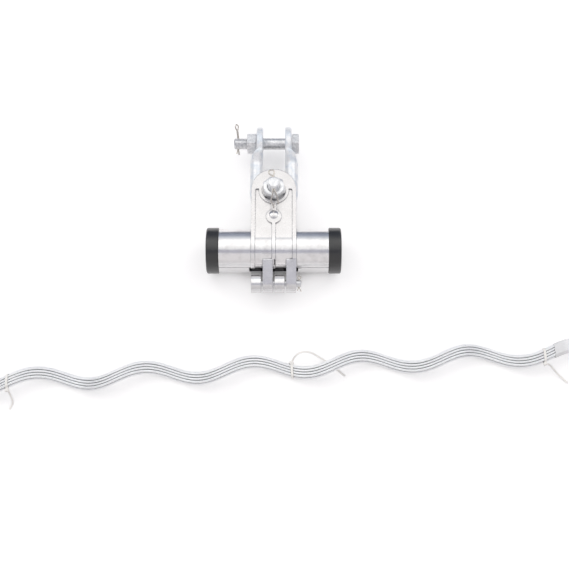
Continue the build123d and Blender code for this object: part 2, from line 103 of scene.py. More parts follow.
class Shader:
    """Makes the nodes of one material or of the world."""

    def __init__(self, owner: bpy.types.Material | bpy.types.World) -> None:
        """Empties the owner's node tree and keeps it."""
        owner.use_nodes = True
        self.tree = owner.node_tree
        self.tree.nodes.clear()

    def make(self, kind: str, settings: dict[str, object], inputs: dict[int | str, object]) -> bpy.types.Node:
        """Makes one node.

        Args:
            kind: the node's type without its ShaderNode prefix.
            settings: properties that are set before the inputs.
            inputs: values or links by input name or number.

        Returns:
            The new node.
        """
        node = self.tree.nodes.new("ShaderNode" + kind)
        for name, setting in settings.items():
            setattr(node, name, setting)
        for key, value in inputs.items():
            if isinstance(value, Value):
                self.tree.links.new(value.socket, node.inputs[key])
            else:
                node.inputs[key].default_value = value
        return node

    def node(self, kind: str, settings: dict[str, object], inputs: dict[int | str, object],
             output: int | str = 0) -> Value:
        """Makes one node and returns one of its outputs as a value."""
        return Value(self, self.make(kind, settings, inputs).outputs[output])

    def mix(self, factor: Value | float, first: object, second: object) -> Value:
        """Mixes two colours.

        Args:
            factor: 0 for the first colour and 1 for the second.
            first: a colour or a value.
            second: a colour or a value.

        Returns:
            The mixed colour.
        """
        return self.node("Mix", {"data_type": "RGBA"}, {0: factor, 6: first, 7: second}, 2)

    def position(self) -> Value:
        """The point on the surface, in metres in the object's frame."""
        return self.node("TexCoord", {}, {}, "Object")

    def axes(self) -> list[Value]:
        """The point's three coordinates."""
        point = self.make("SeparateXYZ", {}, {"Vector": self.position()})
        return [Value(self, point.outputs[axis]) for axis in "XYZ"]

    def open_air(self, reach: float, samples: int = 8) -> Value:
        """How open the surface is within a reach: 0 in a closed corner and 1 in the open."""
        return self.node("AmbientOcclusion", {"samples": samples}, {"Distance": reach}, "AO")

    def glow(self, shade: object, strength: Value | float = 1.0) -> Value:
        """A shader that shines in one shade."""
        return self.node("Emission", {}, {"Color": shade, "Strength": strength})

    def noise(self, scale: float, detail: float = 2.0, stretch: Triple = (1, 1, 1),
              roughness: float = 0.5) -> Value:
        """Noise that is fixed to the object.

        Args:
            scale: how many features there are in a metre.
            detail: how many finer layers it has.
            stretch: how much it is squeezed along each axis.
            roughness: how strong the finer layers are.

        Returns:
            The noise, about 0.5 in the mean.
        """
        point = self.node("Mapping", {}, {"Vector": self.position(), "Scale": stretch})
        return self.node("TexNoise", {}, {
            "Vector": point, "Scale": scale, "Detail": detail, "Roughness": roughness})

    def bump(self, height: Value, distance: float, strength: float, normal: Value | None = None) -> Value:
        """A bump from a height of 0 to 1, in metres."""
        inputs: dict[int | str, object] = {"Height": height, "Distance": distance, "Strength": strength}
        if normal is not None:
            inputs["Normal"] = normal
        return self.node("Bump", {}, inputs, "Normal")

    def surface(self, inputs: dict[int | str, object]) -> None:
        """Adds the main surface shader with its inputs and joins it to the output."""
        self.finish(self.node("BsdfPrincipled", {}, inputs))

    def finish(self, shader: Value, output: str = "OutputMaterial") -> None:
        """Joins a shader to the tree's output."""
        self.make(output, {}, {"Surface": shader})


def colour(red: float, green: float, blue: float) -> Colour:
    """A linear colour with full alpha."""
    return (red, green, blue, 1.0)


class Finish:
    """A finish whose material is made once and then shared."""

    def material(self) -> bpy.types.Material:
        """The finish's material, made on first use."""
        made = bpy.data.materials.get(self.name())
        if made is None:
            made = bpy.data.materials.new(self.name())
            self.build(Shader(made))
        return made

    def name(self) -> str:
        """The material's name."""
        return type(self).__name__

    def build(self, shader: Shader) -> None:
        """Fills the material's node tree."""
        raise NotImplementedError


@dataclass(frozen=True)
class PolishedCasting(Finish):
    """Tumbled and polished aluminium with rounded edges and a fine, uneven grain."""

    bright: Colour = colour(0.90, 0.89, 0.89)
    worn: Colour = colour(0.80, 0.785, 0.785)
    satin: Colour = colour(0.755, 0.735, 0.725)
    # Painted shade: the low side of the barrel and of the lugs is darkened towards this colour.
    low_side_shade: Colour = colour(0.55, 0.545, 0.555)
    pitted: Colour = colour(0.62, 0.61, 0.62)
    rough: Colour = colour(0.66, 0.655, 0.66)
    # Painted shade: crevices, gaps and the feet of walls are darkened towards this colour.
    crevice_shade: Colour = colour(0.08, 0.085, 0.10)
    edge_radius: float = 0.0012
    plate_half_width: float = 0.0302
    plate_y: tuple[float, float] = (-0.006, 0.018)
    relief_low_y: tuple[float, float] = (-0.0485, -0.044)
    relief_high_y: tuple[float, float] = (-0.030, -0.029)
    relief_top_z: tuple[float, float] = (0.0075, 0.0095)
    relief_share: float = 0.8
    # Where the painted shade on the low side fades in along Y, on the barrel and on the lugs.
    barrel_shade_y: tuple[float, float] = (-0.029, -0.019)
    lugs_shade_y: tuple[float, float] = (-0.059, -0.050)
    # How far the painted crevice shade looks for surfaces that close in.
    reach: float = 0.005

    def build(self, shader: Shader) -> None:
        """A grained bright skin, satin on the plate and rough behind the hinge, with painted shade on its low
        side and in its crevices.
        """
        across, along, height = shader.axes()
        grain = shader.noise(420, 3, roughness=0.6)
        fine = shader.noise(1500, 2)
        wash = shader.noise(70, 4, roughness=0.6)
        limit = self.plate_half_width ** 2
        inside = 1 - (across * across).ramp(limit * 0.99, limit * 1.01)
        plate = inside * along.ramp(*self.plate_y)
        relief = (inside * (1 - along.ramp(*self.relief_high_y)) * along.ramp(*self.relief_low_y)
                  * (1 - height.ramp(*self.relief_top_z)))
        # Painted shade on the low side of the barrel and of the lugs, standing in for the shaded floor they
        # mirror.
        under = ((1 - inside) * (1 - along.ramp(*self.barrel_shade_y))
                 + inside * (1 - along.ramp(*self.lugs_shade_y)))
        base = shader.mix(wash.ramp(0.4, 0.72), self.bright, self.worn)
        base = shader.mix(grain.ramp(0.58, 0.8) * 0.3, base, self.pitted)
        base = shader.mix(plate * (0.6 + wash * 0.4), base, self.satin)
        # Paints the shade on the low side.
        base = shader.mix(under * 0.6, base, self.low_side_shade)
        # Painted shade in crevices, where the surface is closed in.
        base = shader.mix(shader.open_air(self.reach).ramp(0.2, 0.82), self.crevice_shade, base)
        rounded = shader.node("Bevel", {"samples": 8}, {"Radius": self.edge_radius})
        waves = shader.bump(shader.noise(60, 2), 0.00016, 0.5, rounded)
        shader.surface({
            "Base Color": shader.mix(relief * self.relief_share, base, self.rough),
            "Metallic": 1 - relief * self.relief_share,
            "Roughness": 0.13 + grain * 0.12 + wash * 0.06 + plate * 0.06 + relief * 0.3,
            "Normal": shader.bump((grain * 0.6 + fine * 0.4) * (1 - plate * 0.75), 0.00011, 0.6, waves)})


@dataclass(frozen=True)
class LinerRubber(Finish):
    """Dark moulded rubber with a satin skin and a little dust."""

    def build(self, shader: Shader) -> None:
        """Dark base with faint moulding marks and dust."""
        dust = shader.noise(180, 4, roughness=0.65)
        grain = shader.noise(2600, 2)
        base = shader.mix(dust.ramp(0.55, 0.85), colour(0.005, 0.005, 0.006), colour(0.022, 0.022, 0.024))
        shader.surface({
            "Base Color": base, "Roughness": 0.24 + dust * 0.14, "Specular IOR Level": 0.85,
            "Coat Weight": 0.12 + dust * 0.2, "Coat Roughness": 0.12,
            "Normal": shader.bump(grain, 0.00003, 0.5)})


@dataclass(frozen=True)
class GalvanisedSteel(Finish):
    """Bright hot-dip zinc: bluish, rippled, with small specks."""

    def build(self, shader: Shader) -> None:
        """Zinc skin with ripples, spangle and specks."""
        ripple = shader.noise(110, 3)
        specks = shader.noise(900, 2, roughness=0.7)
        spangle = {"Vector": shader.position(), "Scale": 330}
        cell = shader.node("TexVoronoi", {"feature": "F1"}, spangle, "Distance")
        tone = shader.mix(ripple.ramp(0.34, 0.6), colour(0.80, 0.85, 0.90), colour(0.98, 0.985, 0.99))
        base = shader.mix(specks.ramp(0.58, 0.72) * 0.8, tone, colour(0.42, 0.45, 0.49))
        height = ripple * 0.7 + cell * 0.3
        shader.surface({
            "Base Color": base, "Metallic": 0.35, "Roughness": 0.32 + ripple * 0.14 + specks * 0.06,
            "Normal": shader.bump(height, 0.0003, 0.6)})


@dataclass(frozen=True)
class MattZinc(Finish):
    """Matt, mottled zinc on the bolts and nuts."""

    # Painted light: the zinc's colours are scaled by this, so that each copy looks as lit as its part.
    tone: float = 1.0

    def name(self) -> str:
        """The material's name, with its tone."""
        return f"MattZinc_{round(self.tone * 100)}"

    def build(self, shader: Shader) -> None:
        """Mottled grey with a matt, pitted skin."""
        mottle = shader.noise(330, 3, roughness=0.6)
        pits = shader.noise(1500, 2, roughness=0.7)
        # Painted light: a lit copy's colours are scaled up.
        level = self.tone
        base = shader.mix(
            mottle.ramp(0.35, 0.68), colour(0.66 * level, 0.665 * level, 0.675 * level),
            colour(0.86 * level, 0.86 * level, 0.865 * level))
        shader.surface({
            "Base Color": base, "Metallic": 0.9, "Roughness": 0.30 + mottle * 0.16,
            "Normal": shader.bump(pits * 0.4 + mottle * 0.6, 0.00008, 0.6)})


@dataclass(frozen=True)
class StainlessWire(Finish):
    """Bright drawn stainless wire, slightly warm."""

    def build(self, shader: Shader) -> None:
        """Warm bright metal with fine draw marks."""
        marks = shader.noise(1400, 2)
        shader.surface({
            "Base Color": colour(0.62, 0.585, 0.54), "Metallic": 1.0, "Roughness": 0.16 + marks * 0.1,
            "Normal": shader.bump(marks, 0.00002, 0.5)})


@dataclass(frozen=True)
class PinSteel(Finish):
    """The hinge pin's plain bright steel."""

    def build(self, shader: Shader) -> None:
        """Turned bright steel."""
        rings = shader.noise(300, 2, (9, 1, 1))
        shader.surface({
            "Base Color": colour(0.72, 0.72, 0.73), "Metallic": 1.0, "Roughness": 0.24 + rings * 0.12,
            "Normal": shader.bump(rings, 0.00004, 0.5)})


@dataclass(frozen=True)
class RodWire(Finish):
    """Bright bluish alloy wire with faint marks along it and painted shade where the wires touch."""

    reach: float = 0.002

    def build(self, shader: Shader) -> None:
        """Bright wire with patches, draw marks and painted shade where the wires touch."""
        marks = shader.noise(240, 3, (1, 5, 5))
        specks = shader.noise(1900, 2)
        bright = shader.mix(marks.ramp(0.3, 0.7), colour(0.95, 0.965, 0.975), colour(0.99, 0.99, 0.99))
        # Painted shade where the wires touch, where the surface is closed in.
        base = shader.mix(shader.open_air(self.reach).ramp(0.32, 0.62), colour(0.01, 0.015, 0.02), bright)
        shader.surface({
            "Base Color": base, "Metallic": 0.3, "Roughness": 0.22 + marks * 0.10 + specks * 0.04,
            "Normal": shader.bump(marks, 0.00004, 0.6)})


@dataclass(frozen=True)
class WhiteNylon(Finish):
    """Natural nylon: creamy white and a little glossy."""

    def build(self, shader: Shader) -> None:
        """Milky plastic with a smooth skin."""
        cloud = shader.noise(260, 2)
        shader.surface({
            "Base Color": shader.mix(cloud, colour(0.97, 0.94, 0.89), colour(0.99, 0.97, 0.93)),
            "Roughness": 0.26 + cloud * 0.12, "Coat Weight": 0.2, "Normal": shader.bump(cloud, 0.00005, 0.4)})


@dataclass(frozen=True)
class ClearTape(Finish):
    """Bare tape: one clear turn that shows the wires, then milky turns with faint creases."""

    clear_end_x: float = 0.378
    milky_start_x: float = 0.386
    clear_share: float = 0.84
    milky_share: float = 0.99

    def build(self, shader: Shader) -> None:
        """A thin glossy film that turns milky along the bundle."""
        crease = shader.noise(420, 3, (1, 3, 3))
        edge = shader.axes()[0] + (crease - 0.5) * 0.012
        milky = edge.ramp(self.clear_end_x, self.milky_start_x)
        share = self.clear_share + milky * (self.milky_share - self.clear_share)
        body = shader.node("BsdfPrincipled", {}, {
            "Base Color": colour(0.98, 0.975, 0.97), "Roughness": 0.18 + crease * 0.14,
            "Normal": shader.bump(crease, 0.0002, 0.6)})
        clear = shader.node("BsdfTransparent", {}, {"Color": colour(0.99, 0.99, 1.0)})
        shader.finish(shader.node("MixShader", {}, {0: share, 1: clear, 2: body}))


@dataclass(frozen=True)
class StudioFloor(Finish):
    """A pale floor that looks white and keeps the object's shadow."""

    share: float = 0.5
    reach: float = 0.06
    pale: Colour = colour(0.68, 0.665, 0.66)
    # Painted shadow: the floor's colour darkens towards this where things close in over it.
    contact_shadow: Colour = colour(0.12, 0.12, 0.12)

    def build(self, shader: Shader) -> None:
        """A matt floor with a painted contact shadow where things close in over it, and a share of plain
        white for camera, gloss and glass except where things touch.
        """
        path = shader.make("LightPath", {}, {})
        camera, glossy, glass = (
            Value(shader, path.outputs[f"Is {ray} Ray"]) for ray in ("Camera", "Glossy", "Transmission"))
        open_air = shader.open_air(self.reach, 12)
        # The floor's colour carries painted shadow where things close in.
        matt = shader.node("BsdfPrincipled", {}, {
            "Base Color": shader.mix(open_air.ramp(0.0, 0.25), self.contact_shadow, self.pale),
            "Roughness": 0.9, "Specular IOR Level": 0.1})
        seen = camera.larger(glossy).larger(glass)
        # Leaving out the white where things close in paints the shadow deeper.
        white = shader.glow(colour(1, 1, 1), seen * self.share * open_air.ramp(0.08, 0.45))
        shader.finish(shader.node("AddShader", {}, {0: matt, 1: white}))


@dataclass(frozen=True)
class FarCard(Finish):
    """The card beyond the object: dark and bluish below, lighter towards its top."""

    def build(self, shader: Shader) -> None:
        """Shades from dark at the floor to pale at three metres."""
        height = shader.axes()[2]
        shade = shader.mix(height.ramp(-0.2, 0.9), colour(0.15, 0.17, 0.21), colour(0.30, 0.33, 0.41))
        shade = shader.mix(height.ramp(1.0, 2.1), shade, colour(0.66, 0.69, 0.75))
        shade = shader.mix(height.ramp(2.1, 3.0), shade, colour(0.96, 0.96, 0.97))
        shader.finish(shader.glow(shade))


@dataclass(frozen=True)
class PlainCard(Finish):
    """A card of one shade."""

    place: str
    shade: Triple

    def name(self) -> str:
        """The material's name, with the card's place."""
        return "PlainCard_" + self.place

    def build(self, shader: Shader) -> None:
        """The shade as it is written, whatever lights it."""
        shader.finish(shader.glow(colour(*self.shade)))


# Shapes


class Edge(Enum):
    """How a mesh is shaded."""

    CREASED = math.radians(32)
    CRISP = math.radians(18)


Ring = Sequence[Vector]


def into_scene(name: str, mesh: bmesh.types.BMesh, finish: Finish | None = None) -> bpy.types.Object:
    """Puts a mesh into the scene as an object, with its finish, and frees the mesh."""
    data = bpy.data.meshes.new(name)
    mesh.to_mesh(data)
    mesh.free()
    if finish is not None:
        data.materials.append(finish.material())
    made = bpy.data.objects.new(name, data)
    bpy.context.scene.collection.objects.link(made)
    return made


class Former:
    """Makes meshes from rings and spun profiles and finishes them as pieces."""

    @staticmethod
    def through(rings: Sequence[Ring], closed: bool = False) -> bmesh.types.BMesh:
        """Extrudes a circle's edges from ring to ring.

        Args:
            rings: closed rings with equal numbers of points, in metres.
            closed: whether the last ring joins the first one, with no caps.

        Returns:
            The new mesh, with outward normals.
        """
        mesh = bmesh.new()
        count = len(rings[0])

        def edges_of(points: Sequence[bmesh.types.BMVert]) -> list[bmesh.types.BMEdge]:
            """The edges between a ring's neighbouring points."""
            return [mesh.edges.get((points[i], points[(i + 1) % count])) for i in range(count)]

        first = bmesh.ops.create_circle(mesh, cap_ends=not closed, segments=count, radius=1.0)["verts"]
        for vertex, place in zip(first, rings[0]):
            vertex.co = place
        front = list(first)
        for ring in rings[1:]:
            grown = bmesh.ops.extrude_edge_only(mesh, edges=edges_of(front))["geom"]
            made = {v for v in grown if isinstance(v, bmesh.types.BMVert)}
            front = [next(e.other_vert(v) for e in v.link_edges if e.other_vert(v) in made) for v in front]
            for vertex, place in zip(front, ring):
                vertex.co = place
        if closed:
            bmesh.ops.bridge_loops(mesh, edges=edges_of(front) + edges_of(first))
        else:
            bmesh.ops.contextual_create(mesh, geom=edges_of(front))
        bmesh.ops.recalc_face_normals(mesh, faces=mesh.faces[:])
        return mesh

    @staticmethod
    def spun(profile: Sequence[tuple[float, float]], degrees: float = 360.0, steps: int = 72,
             start: float = 0.0) -> bmesh.types.BMesh:
        """Spins a closed profile round the X axis.

        Args:
            profile: corners as distance along X and radius, in metres.
            degrees: how far it turns.
            steps: how many steps it takes.
            start: the angle of the first profile, from +Y towards +Z.

        Returns:
            The new mesh, with outward normals.
        """
        mesh = bmesh.new()
        turn = Matrix.Rotation(math.radians(start), 3, "X")
        points = [mesh.verts.new(turn @ Vector((x, radius, 0))) for x, radius in profile]
        outline = mesh.faces.new(points)
        full = degrees >= 360
        geometry = list(outline.edges) + points + ([] if full else [outline])
        if full:
            mesh.faces.remove(outline)
        bmesh.ops.spin(mesh, geom=geometry, cent=(0, 0, 0), axis=(1, 0, 0), angle=math.radians(degrees),
                       steps=steps, use_merge=full)
        bmesh.ops.remove_doubles(mesh, verts=mesh.verts[:], dist=1e-7)
        bmesh.ops.recalc_face_normals(mesh, faces=mesh.faces[:])
        return mesh

    @staticmethod
    def piece(name: str, mesh: bmesh.types.BMesh, finish: Finish, body: str, slot: str,
              stands_for: Sequence[str] = (), edge: Edge = Edge.CREASED) -> bpy.types.Object:
        """Turns a mesh into a finished piece of the model.

        Args:
            name: the piece's name.
            mesh: its shape in place, in metres. It is freed.
            finish: its finish.
            body: the body it rides on.
            slot: the record's slot of its finish; not used.
            stands_for: the solids it stands for.
            edge: how its edges are shaded.

        Returns:
            The new object.
        """
        made = into_scene(name, mesh, finish)
        made.data.shade_smooth()
        made.data.set_sharp_from_angle(angle=edge.value)
        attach(made, body)
        if stands_for:
            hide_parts(*stands_for)
        log.info("%s: %d faces", name, len(made.data.polygons))
        return made


def smooth_line(points: Sequence[Vector], per_span: int = 6) -> list[Vector]:
    """Points on a smooth line through some corners.

    Args:
        points: the corners.
        per_span: how many points each span gets.

    Returns:
        The points, the two ends among them.
    """
    padded = [points[0] * 2 - points[1], *points, points[-1] * 2 - points[-2]]
    line = []
    for before, start, end, after in zip(padded, padded[1:], padded[2:], padded[3:]):
        for step in range(per_span):
            t = step / per_span
            line.append(0.5 * (
                2 * start + (end - before) * t + (2 * before - 5 * start + 4 * end - after) * t ** 2
                + (3 * start - before - 3 * end + after) * t ** 3))
    return line + [Vector(points[-1])]


def swept(line: Sequence[Vector], section: Sequence[tuple[float, float]], up: Vector) -> list[list[Vector]]:
    """Places a section square to a line at each of its points.

    Args:
        line: the points that the section follows.
        section: the section's corners, as (sideways, up).
        up: the direction that the section's second figure points along, roughly.

    Returns:
        The rings.
    """
    rings = []
    for index, point in enumerate(line):
        before = line[max(index - 1, 0)]
        after = line[min(index + 1, len(line) - 1)]
        along = (after - before).normalized()
        side = up.cross(along).normalized()
        above = along.cross(side)
        rings.append([point + side * across + above * high for across, high in section])
    return rings


def round_section(radius: float, sides: int, shift: float = 0.0) -> list[tuple[float, float]]:
    """The corners of a round section, turned by a share of one side."""
    turns = [2 * math.pi * (index + shift) / sides for index in range(sides)]
    return [(radius * math.cos(turn), radius * math.sin(turn)) for turn in turns]


# The armour rods and what ties them


@dataclass
class RodBundle:
    """The preformed armour rods, nested side by side on a left-handed helix."""

    diameter: float = 3.4
    helix_radius: float = 9.0
    pitch: float = 141.5
    turns: float = 5.5
    rows: tuple[int, ...] = (4, 5, 4)
    gap: float = 0.04
    start_x: float = -374.3
    axis_y: float = -158.5
    slope: float = 3.1
    floor_z: float = -31.0
    runs_per_turn: int = 8
    steps_per_turn: int = 28
    sides: int = 14

    def __post_init__(self) -> None:
        """Works out the spacing and the bundle's own frame."""
        self.radius = self.diameter / 2
        lay = math.atan2(2 * math.pi * self.helix_radius, self.pitch)
        self.spacing = self.diameter / math.cos(lay) + self.gap
        self.run = self.pitch / self.runs_per_turn
        self.row_spacing = self.spacing * math.sin(math.pi / 3)
        half_height = self.row_spacing * (len(self.rows) - 1) / 2 + self.radius
        start_y = self.axis_y + self.start_x * math.tan(math.radians(self.slope))
        self.axis_height = half_height + self.helix_radius
        place = Vector((self.start_x, start_y, self.axis_height + self.floor_z))
        self.place = Matrix.Translation(place) @ Matrix.Rotation(math.radians(self.slope), 4, "Z")

    def centre(self, distance: float) -> Vector:
        """The bundle's middle at a distance along its axis, in its own frame, in millimetres."""
        turn = 2 * math.pi * distance / self.pitch
        return Vector((distance, -self.helix_radius * math.cos(turn), self.helix_radius * math.sin(turn)))

    def offsets(self) -> list[tuple[float, float]]:
        """Where each rod lies in the section, row by row from the lowest."""
        places = []
        for row, count in enumerate(self.rows):
            height = (row - (len(self.rows) - 1) / 2) * self.row_spacing
            places += [((index - (count - 1) / 2) * self.spacing, height) for index in range(count)]
        return places

    def to_scene(self, point: Vector) -> Vector:
        """A point of the bundle's own frame in the scene, in metres."""
        return (self.place @ point) * MM

    def dress(self) -> None:
        """Makes each rod as a smooth round wire that stands for its solid."""
        finish = RodWire()
        steps = round(self.turns * self.steps_per_turn)
        for number, (across, up) in enumerate(self.offsets(), start=1):
            shift = Vector((0, across, up))
            line = [self.to_scene(self.centre(self.pitch * step / self.steps_per_turn) + shift)
                    for step in range(steps + 1)]
            rings = swept(line, round_section(self.radius * MM * 0.995, self.sides), Vector((0, 0, 1)))
            name = f"armor_rod_{number:02d}"
            mesh = Former.through(rings)
            Former.piece(f"rod_{number:02d}", mesh, finish, "clamp", "rod_wire", [name])

    def sleeve(self, places: Sequence[float], clearance: float, thickness: float) -> bmesh.types.BMesh:
        """A closed sleeve round the bundle.

        Args:
            places: the distances along the bundle that it passes, in order.
            clearance: how far it stands off the outer rods.
            thickness: its wall.

        Returns:
            The new mesh, in the scene.
        """
        inner, outer = (self.outline(self.radius + gap) for gap in (clearance, clearance + thickness))
        sections = [(place, outer) for place in places] + [(place, inner) for place in reversed(places)]
        rings = [[self.to_scene(self.centre(place) + point) for point in outline]
                 for place, outline in sections]
        return Former.through(rings, closed=True)

    def outline(self, radius: float, corner_steps: int = 4) -> list[Vector]:
        """The bundle's outline with round corners, about its middle and square to its axis.

        Args:
            radius: how far it lies outside the outer rods' middles.
            corner_steps: how many steps each corner takes.

        Returns:
            The outline's points in the bundle's own frame.
        """
        height = (len(self.rows) - 1) / 2 * self.row_spacing
        middle = (max(self.rows) - 1) / 2 * self.spacing
        outer = (self.rows[0] - 1) / 2 * self.spacing
        half = [(middle, 0), (outer, height), (-outer, height)]
        corners = half + [(-across, -up) for across, up in half]
        points = []
        for index, (across, up) in enumerate(corners):
            for step in range(corner_steps + 1):
                turn = math.radians(60 * index - 30 + 60 * step / corner_steps)
                points.append(Vector((0, across + radius * math.cos(turn), up + radius * math.sin(turn))))
        return points


@dataclass
class CableTie:
    """A nylon tie: its band, its head and its untrimmed tail.

    Its place is counted in runs from the bundle's left end. A tail's point is (along, across, height): along
    the bundle from the tie, across it from its axis, and above the floor.
    """

    name: str
    place: float
    head_side: int
    tail: Sequence[Triple]
    clearance: float = 0.15
    thickness: float = 1.0
    width: float = 3.4
    band_edge: float = 0.25
    head_width: float = 5.4
    head_height: float = 4.0
    head_corner: float = 0.6
    tail_width: float = 2.6

    def dress(self, bundle: RodBundle) -> None:
        """Makes the tie round the bundle."""
        middle = self.place * bundle.run
        edges = [middle - self.width / 2, middle + self.width / 2]
        band = bundle.sleeve(edges, self.clearance, self.thickness)
        piece = Former.piece(self.name + "_band", band, WhiteNylon(), "clamp", "white_nylon", [self.name])
        soften(piece, self.band_edge)
        side = max(point.y for point in bundle.outline(bundle.radius + self.clearance))
        head = bundle.centre(middle) + Vector((0, self.head_side * (side + self.head_height / 2), 0))
        self.make_head(bundle, middle, head)
        self.make_tail(bundle, middle, head)

    def make_head(self, bundle: RodBundle, middle: float, head: Vector) -> None:
        """The head: a small moulded block."""
        along = (bundle.centre(middle + 1) - bundle.centre(middle - 1)).normalized()
        mesh = bmesh.new()
        bmesh.ops.create_cube(mesh, size=1.0)
        size = Matrix.Diagonal((self.head_width, self.head_height, self.head_width, 1))
        side = Vector((0, 1, 0)) - along * along.y
        side.normalize()
        turn = Matrix((along, side, along.cross(side))).transposed().to_4x4()
        place = bundle.place @ Matrix.Translation(head) @ turn @ size
        bmesh.ops.transform(mesh, matrix=Matrix.Scale(MM, 4) @ place, verts=mesh.verts[:])
        bmesh.ops.bevel(
            mesh, geom=mesh.edges[:], offset=self.head_corner * MM, segments=3, profile=0.5, affect="EDGES",
            material=-1)
        Former.piece(self.name + "_head", mesh, WhiteNylon(), "clamp", "white_nylon")

    def make_tail(self, bundle: RodBundle, middle: float, head: Vector) -> None:
        """The tail: a flat strip that leaves the head and comes down to the floor."""
        route = [bundle.to_scene(head)]
        for along, across, height in self.tail:
            route.append(bundle.to_scene(Vector((middle + along, across, height - bundle.axis_height))))
        line = smooth_line(route, 8)
        wide, thin = self.tail_width / 2 * MM, self.thickness / 2 * MM
        section = [(wide, -thin), (wide, thin), (-wide, thin), (-wide, -thin)]
        mesh = Former.through(swept(line, section, Vector((0, 0, 1))))
        Former.piece(self.name + "_tail", mesh, WhiteNylon(), "clamp", "white_nylon")


@dataclass
class EndTape:
    """The bare tape round the bundle's right end."""

    first_run: int = 42
    runs: int = 2
    end_margin: float = 5.0
    clearance: float = 0.25
    thickness: float = 0.45
    steps: int = 12

    def dress(self, bundle: RodBundle) -> None:
        """Makes the tape as a thin sleeve that follows the helix."""
        start = self.first_run * bundle.run
        length = self.runs * bundle.run - self.end_margin
        places = [start + length * step / self.steps for step in range(self.steps + 1)]
        mesh = bundle.sleeve(places, self.clearance, self.thickness)
        Former.piece("tape_sleeve", mesh, ClearTape(), "clamp", "clear_tape", ["end_tape"])


def soften(piece: bpy.types.Object, width: float, segments: int = 2, least_degrees: float = 35.0) -> None:
    """Rounds a piece's edges that are sharper than an angle, to a width in millimetres."""
    modifier = piece.modifiers.new("soft_edges", "BEVEL")
    modifier.width = width * MM
    modifier.segments = segments
    modifier.limit_method = "ANGLE"
    modifier.angle_limit = math.radians(least_degrees)
    modifier.harden_normals = False


# Bolts, nuts and pins


